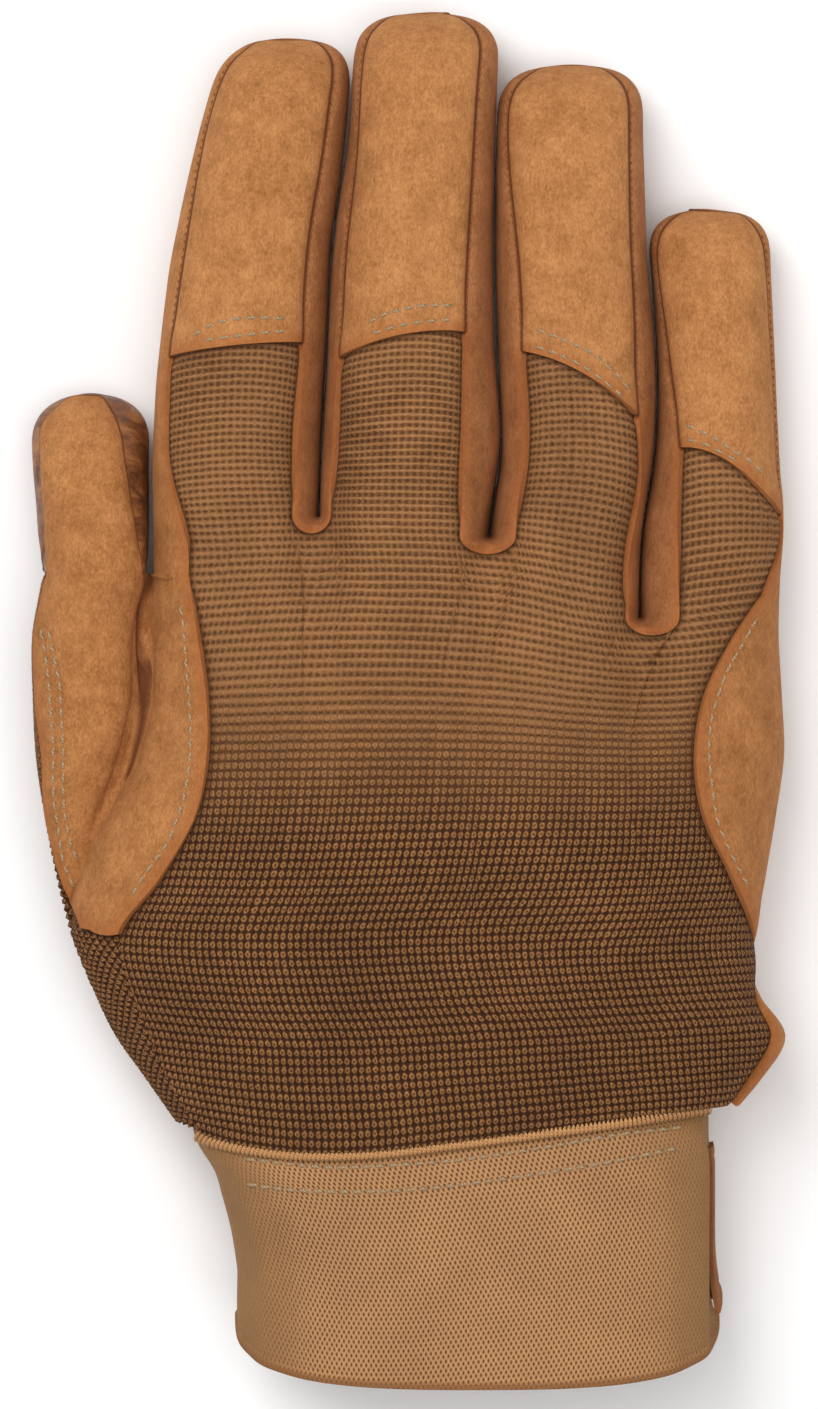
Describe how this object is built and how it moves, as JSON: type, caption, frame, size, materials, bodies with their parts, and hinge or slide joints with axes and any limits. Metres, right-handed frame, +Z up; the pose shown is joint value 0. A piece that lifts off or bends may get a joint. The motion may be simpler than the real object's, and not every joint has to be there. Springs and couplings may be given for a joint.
{
  "type": "mechanic glove",
  "caption": "Right-hand work glove lying palm down: ribbed knit back, suede palm, fingertips and thumb, soft finger side walls and an elastic wrist cuff.",
  "frame": {"origin": "under the middle of the glove, on the surface that it rests on", "axes": "+Y along the fingers, thumb towards -X, +Z up out of the knitted back"},
  "size_m": [0.1346, 0.246, 0.045],
  "materials": {
    "rib_knit": "dark coyote-brown ribbed knit, matte",
    "suede": "tan suede with a short nap, matte",
    "side_suede": "thin brown suede, matte",
    "grip_leather": "smooth brown leather with pressed creases, half glossy",
    "cuff_elastic": "tan woven elastic with small diamond cells, matte",
    "tab_suede": "dark brown suede, matte"
  },
  "bodies": {
    "root": {"back_knit": "rib_knit", "thumb_side_knit": "rib_knit", "palm": "suede", "thumb_back": "suede", "tip_back_index": "suede", "tip_back_middle": "suede", "tip_back_ring": "suede", "tip_back_little": "suede", "thumb_grip": "grip_leather", "fourchette_index_middle": "side_suede", "fourchette_middle_ring": "side_suede", "fourchette_ring_little": "side_suede", "cuff": "cuff_elastic", "wrist_tab": "tab_suede"}
  },
  "joints": []
}
